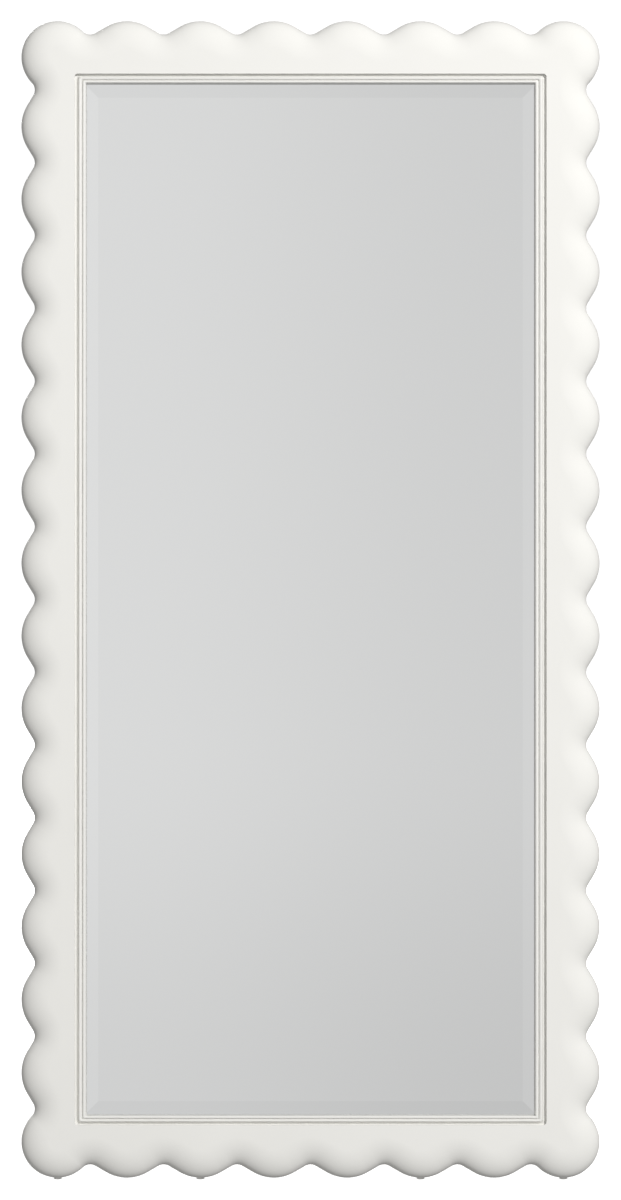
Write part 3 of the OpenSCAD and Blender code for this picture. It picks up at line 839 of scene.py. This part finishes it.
def sweep(path, radii, binormal, steps, closed):
    """A round bar along a flat path, with a flat cap at each open end"""
    path = np.array(path, float)
    n = len(path)
    points, faces = [], []
    for i in range(n):
        before = path[i - 1] if closed or i > 0 else path[i]
        after = path[(i + 1) % n] if closed or i < n - 1 else path[i]
        along = (after - before) / np.linalg.norm(after - before)
        side = np.cross(binormal, along)
        for k in range(steps):
            a = TURN * k / steps
            points.append(path[i] + radii[i] * (math.cos(a) * side + math.sin(a) * binormal))
    for i in range(n if closed else n - 1):
        for k in range(steps):
            a, b = i * steps, (i + 1) % n * steps
            faces.append((a + k, a + (k + 1) % steps, b + (k + 1) % steps, b + k))
    if not closed:
        faces.append(tuple(reversed(range(steps))))
        faces.append(tuple(range((n - 1) * steps, n * steps)))
    return np.array(points), faces


def bend(centre, radius, start, end, steps):
    """Points (across, up) along an arc"""
    found = []
    for i in range(steps + 1):
        a = start + (end - start) * i / steps
        found.append((centre[0] + radius * math.cos(a), centre[1] + radius * math.sin(a)))
    return found


FOLD = next(j for j in frame["joints"] if j["name"] == "stand_fold")
PIVOT = np.array(FOLD["pos_m"], float)
tube_low, tube_high = (np.array(v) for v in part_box("stand_tube"))
sleeve_low, sleeve_high = (np.array(v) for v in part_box("foot_sleeve_right"))
FOOT = (sleeve_low + sleeve_high) / 2
LEG_X = (tube_high[0] - tube_low[0]) / 2 - TUBE_R
RAKE = math.atan2(FOOT[1] - PIVOT[1], PIVOT[2] - FOOT[2])
LEG_UP = np.array([0.0, -math.sin(RAKE), math.cos(RAKE)])
LEG_BACK = np.array([0.0, math.cos(RAKE), math.sin(RAKE)])
LEG_LEN = float((PIVOT - FOOT) @ LEG_UP)
PLUG_CAP = 0.002
TUBE_TOP = float((node_points("tube_plugs") - PIVOT).dot(LEG_UP).max()) - PLUG_CAP
PIVOT[0] = 0.0


def on_stand(across, up):
    return PIVOT + across * X_AXIS + up * LEG_UP


def stand():
    inner = LEG_X - TUBE_BEND_R
    corner = -LEG_LEN + TUBE_BEND_R
    flat = [(LEG_X, TUBE_TOP), (LEG_X, 0.0), (LEG_X, corner / 2)]
    flat += bend((inner, corner), TUBE_BEND_R, 0.0, -TURN / 4, 24)
    flat += [(-a, u) for a, u in reversed(flat)]
    path = [on_stand(a, u) for a, u in flat]
    shape = sweep(path, [TUBE_R] * len(path), LEG_BACK, 56, False)
    new_piece("stand_tube_bent", *shape, "stand", "white_powder_coat", [POWDER], None, ("stand_tube",), 40)


stand()


def sleeve(side):
    """Ribbed rubber sleeve on the stand's bar"""
    node = "foot_sleeve_" + side
    low, high = (np.array(v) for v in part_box(node))
    middle = (low + high) / 2
    half = (high[0] - low[0]) / 2
    chamfer, groove, pitch = 0.0012, 0.0009, 0.007
    profile = [(TUBE_R, -half), (SLEEVE_R - chamfer, -half), (SLEEVE_R, -half + chamfer)]
    ribs = int((2 * half - 3 * pitch) / pitch)
    for i in range(ribs):
        z = (i - (ribs - 1) / 2) * pitch
        for offset, drop in ((-1.4, 0.0), (-0.8, 0.75), (0.0, 1.0), (0.8, 0.75), (1.4, 0.0)):
            profile.append((SLEEVE_R - groove * drop, z + groove * offset))
    profile += [(SLEEVE_R, half - chamfer), (SLEEVE_R - chamfer, half), (TUBE_R, half)]
    base, faces = lathe(profile, 64, closed=True)
    points = middle + base[:, 2:] * X_AXIS + base[:, :1] * LEG_UP + base[:, 1:2] * LEG_BACK
    new_piece(node + "_ribbed", points, faces, "stand", "black_rubber", [RUBBER], None, (node,), 40)


sleeve("left")
sleeve("right")

RING_BAR_R = 0.002
RING_WIRE_R = 0.0022
RING_CORNER_R = 0.0035


def hanger_ring(side):
    """Bent wire ring: a straight bar through the barrel, two sides and a round foot"""
    node = "hanger_ring_" + side
    low, high = (np.array(v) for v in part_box(node))
    centre = (low[0] + high[0]) / 2
    ring_r = (high[0] - low[0]) / 2 - RING_WIRE_R
    top = high[2] - RING_WIRE_R
    side_len = top - low[2] - ring_r - RING_WIRE_R
    inner = ring_r - RING_CORNER_R
    flat = bend((inner, -RING_CORNER_R), RING_CORNER_R, TURN / 4, 0.0, 8)
    flat += bend((0.0, -side_len), ring_r, 0.0, -TURN / 2, 36)
    flat += bend((-inner, -RING_CORNER_R), RING_CORNER_R, TURN / 2, TURN / 4, 8)
    flat += [(-ring_r * 0.4, 0.0), (0.0, 0.0), (ring_r * 0.4, 0.0)]
    middle_y = (low[1] + high[1]) / 2
    path = [np.array([centre + a, middle_y, top + u]) for a, u in flat]
    radii = [RING_BAR_R if abs(u) < RING_BAR_R / 2 else RING_WIRE_R for _, u in flat]
    shape = sweep(path, radii, np.array([0.0, 1.0, 0.0]), 24, True)
    new_piece(node + "_wire", *shape, "ring_" + side, "zinc_steel", [ZINC_WIRE], None, (node,), 50)


hanger_ring("left")
hanger_ring("right")


# ---- CAD nodes that keep their meshes ----

def dress(node, look, edge=0.0):
    """Gives a CAD node its material and, where edge isn't 0, softened edges"""
    obj = frame["nodes"][node]
    obj.data.materials.clear()
    obj.data.materials.append(look)
    if edge:
        weld = obj.modifiers.new("weld", "WELD")
        weld.merge_threshold = 1e-6
        soft = obj.modifiers.new("edges", "BEVEL")
        soft.width = edge
        soft.segments = 2
        soft.limit_method = "ANGLE"
        soft.angle_limit = math.radians(40)
        soft.harden_normals = True


for plain_node, plain_look, plain_slot, plain_edge in (
    ("mitre_splines", WOOD, "spline_wood", 0.0),
    ("setting_pads", RUBBER, "black_rubber", 0.0002),
    ("side_spacers", RUBBER, "black_rubber", 0.0002),
    ("cushion_sheet", CARD, "cushion_card", 0.0),
    ("backing_board", HARDBOARD, "backing_hardboard", 0.0),
    ("corner_plates", ZINC, "zinc_steel", 0.0004),
    ("pivot_bracket_left", POWDER, "white_powder_coat", 0.0005),
    ("pivot_bracket_right", POWDER, "white_powder_coat", 0.0005),
    ("pivot_washers", NYLON, "white_nylon", 0.0001),
    ("hanger_plates", ZINC, "zinc_steel", 0.0003),
    ("restraint_brackets", ZINC, "zinc_steel", 0.0004),
    ("tube_plugs", PLASTIC, "black_plastic", 0.0006),
):
    dress(plain_node, plain_look, plain_edge)


# ---- floor, light and camera ----

FLOOR_SIZE = 60.0
FLOOR_GLOW = 0.78
KEY_SIDE = 0.43 * X_AXIS + 0.43 * UP_AXIS - 0.79 * IN_AXIS
KEY_DISTANCE = 9.5
KEY_SIZE = 1.2
KEY_POWER = 770.0
BACK_FILL_PLACE = (-1.8, 4.2, 2.6)
BACK_FILL_SIZE = 2.5
BACK_FILL_POWER = 180.0

# Levels of the world: behind the frame, in front of it, what straight behind adds, and what the camera sees
WORLD_LOW = 0.12
WORLD_HIGH = 0.52
WORLD_BACK = 0.55
CAMERA_WHITE = 1.4

# What the plate reflects: levels to its left and right, and their changes low down and in the bevels
TONE_LEFT = 0.905
TONE_RIGHT = 0.808
TONE_BELOW = -0.085
BEVEL_SIDES = 0.035
BEVEL_ENDS = -0.035

# Where those levels change, as parts of a unit direction: across or up the frame, or out of its front
PLATE_SPAN = (-0.035, 0.035)
BELOW_SPAN = (-0.075, -0.02)
SIDES_SPAN = (0.08, 0.15)
ENDS_SPAN = (0.10, 0.15)
AHEAD_SPAN = (-0.6, 0.8)
BACK_SPAN = (-0.95, -0.2)
FRONT_SPAN = (0.78, 0.93)

CAMERA_LENS = 200.0
CAMERA_SENSOR = 36.0
VIEW_HEIGHT = 2.1084
VIEW_PLANE = 0.025
VIEW_DROP = 0.001


def floor():
    bpy.ops.mesh.primitive_plane_add(size=FLOOR_SIZE)
    plane = bpy.context.object
    plane.name = "floor"
    s = Shader("floor_white", Specular_IOR_Level=0.0)
    s.colour(s.blend(s.noise(0.7, 2), (0.86, 0.86, 0.86), (0.88, 0.88, 0.88)))
    s.roughness(s.span(s.noise(3, 2), 0.85, 0.95))
    s.bsdf.inputs["Emission Color"].default_value = (1.0, 1.0, 1.0, 1.0)
    s.bsdf.inputs["Emission Strength"].default_value = FLOOR_GLOW
    plane.data.materials.append(s.material)
    plane.visible_glossy = False
    plane.visible_diffuse = False
    plane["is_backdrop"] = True


def area(name, place, aim, size, power):
    data = bpy.data.lights.new(name, "AREA")
    data.shape = "DISK"
    data.size = size
    data.energy = power
    lamp = bpy.data.objects.new(name, data)
    bpy.context.scene.collection.objects.link(lamp)
    lamp.location = place
    lamp.rotation_mode = "QUATERNION"
    lamp.rotation_quaternion = (Vector(aim) - Vector(place)).to_track_quat("-Z", "Y")
    lamp.visible_camera = False
    lamp.visible_glossy = False
    lamp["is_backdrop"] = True


def surroundings():
    """Plain studio: white to the camera, soft grey to all else, and the plate's tones in front"""
    world = bpy.data.worlds.new("studio")
    bpy.context.scene.world = world
    world.use_nodes = True
    tree = world.node_tree
    tree.nodes.clear()

    def node(kind):
        return tree.nodes.new(kind)

    def maths(kind, a, b):
        n = node("ShaderNodeMath")
        n.operation = kind
        for socket, value in zip(n.inputs, (a, b)):
            if isinstance(value, (int, float)):
                socket.default_value = value
            else:
                tree.links.new(value, socket)
        return n.outputs[0]

    where = node("ShaderNodeTexCoord").outputs["Generated"]

    def along(direction):
        n = node("ShaderNodeVectorMath")
        n.operation = "DOT_PRODUCT"
        n.inputs[1].default_value = tuple(direction)
        tree.links.new(where, n.inputs[0])
        return n.outputs["Value"]

    def step(value, start, end, low, high):
        n = node("ShaderNodeMapRange")
        n.interpolation_type = "SMOOTHSTEP"
        for name, number in (("From Min", start), ("From Max", end), ("To Min", low), ("To Max", high)):
            n.inputs[name].default_value = number
        tree.links.new(value, n.inputs["Value"])
        return n.outputs["Result"]

    right, rise = along(X_AXIS), along(UP_AXIS)
    across = step(right, *PLATE_SPAN, TONE_LEFT, TONE_RIGHT)
    tone = maths("ADD", across, step(rise, *BELOW_SPAN, TONE_BELOW, 0.0))
    sides = step(maths("ABSOLUTE", right, 0.0), *SIDES_SPAN, 0.0, BEVEL_SIDES)
    ends = step(maths("ABSOLUTE", rise, 0.0), *ENDS_SPAN, 0.0, BEVEL_ENDS)
    tone = maths("ADD", tone, maths("ADD", sides, ends))
    facing = along(-IN_AXIS)
    ahead = step(facing, *AHEAD_SPAN, WORLD_LOW, WORLD_HIGH)
    around = maths("ADD", ahead, step(facing, *BACK_SPAN, WORLD_BACK, 0.0))
    plain = step(facing, *FRONT_SPAN, 1.0, 0.0)
    reflected = maths("MULTIPLY", tone, maths("SUBTRACT", 1.0, plain))
    value = maths("ADD", maths("MULTIPLY", around, plain), reflected)
    glow = node("ShaderNodeBackground")
    tree.links.new(value, glow.inputs["Strength"])
    white = node("ShaderNodeBackground")
    white.inputs["Strength"].default_value = CAMERA_WHITE
    path = node("ShaderNodeLightPath")
    pick = node("ShaderNodeMixShader")
    tree.links.new(path.outputs["Is Camera Ray"], pick.inputs[0])
    tree.links.new(glow.outputs[0], pick.inputs[1])
    tree.links.new(white.outputs[0], pick.inputs[2])
    out = node("ShaderNodeOutputWorld")
    tree.links.new(pick.outputs[0], out.inputs["Surface"])


def camera():
    data = bpy.data.cameras.new("camera")
    data.lens = CAMERA_LENS
    data.sensor_width = CAMERA_SENSOR
    obj = bpy.data.objects.new("camera", data)
    bpy.context.scene.collection.objects.link(obj)
    centre = Vector(to_row((0.0, VIEW_PLANE, FRAME_H / 2 - VIEW_DROP))[0])
    away = VIEW_HEIGHT * CAMERA_LENS / CAMERA_SENSOR
    obj.location = centre - Vector(IN_AXIS) * away
    obj.rotation_mode = "QUATERNION"
    obj.rotation_quaternion = Vector(IN_AXIS).to_track_quat("-Z", "Y")
    bpy.context.scene.camera = obj


floor()
MIDDLE = to_row((0.0, 0.0, FRAME_H / 2))[0]
area("key", MIDDLE + KEY_DISTANCE * KEY_SIDE, MIDDLE, KEY_SIZE, KEY_POWER)
area("back_fill", BACK_FILL_PLACE, MIDDLE, BACK_FILL_SIZE, BACK_FILL_POWER)
surroundings()
camera()
bpy.context.scene.view_settings.view_transform = "Standard"

low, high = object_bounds()
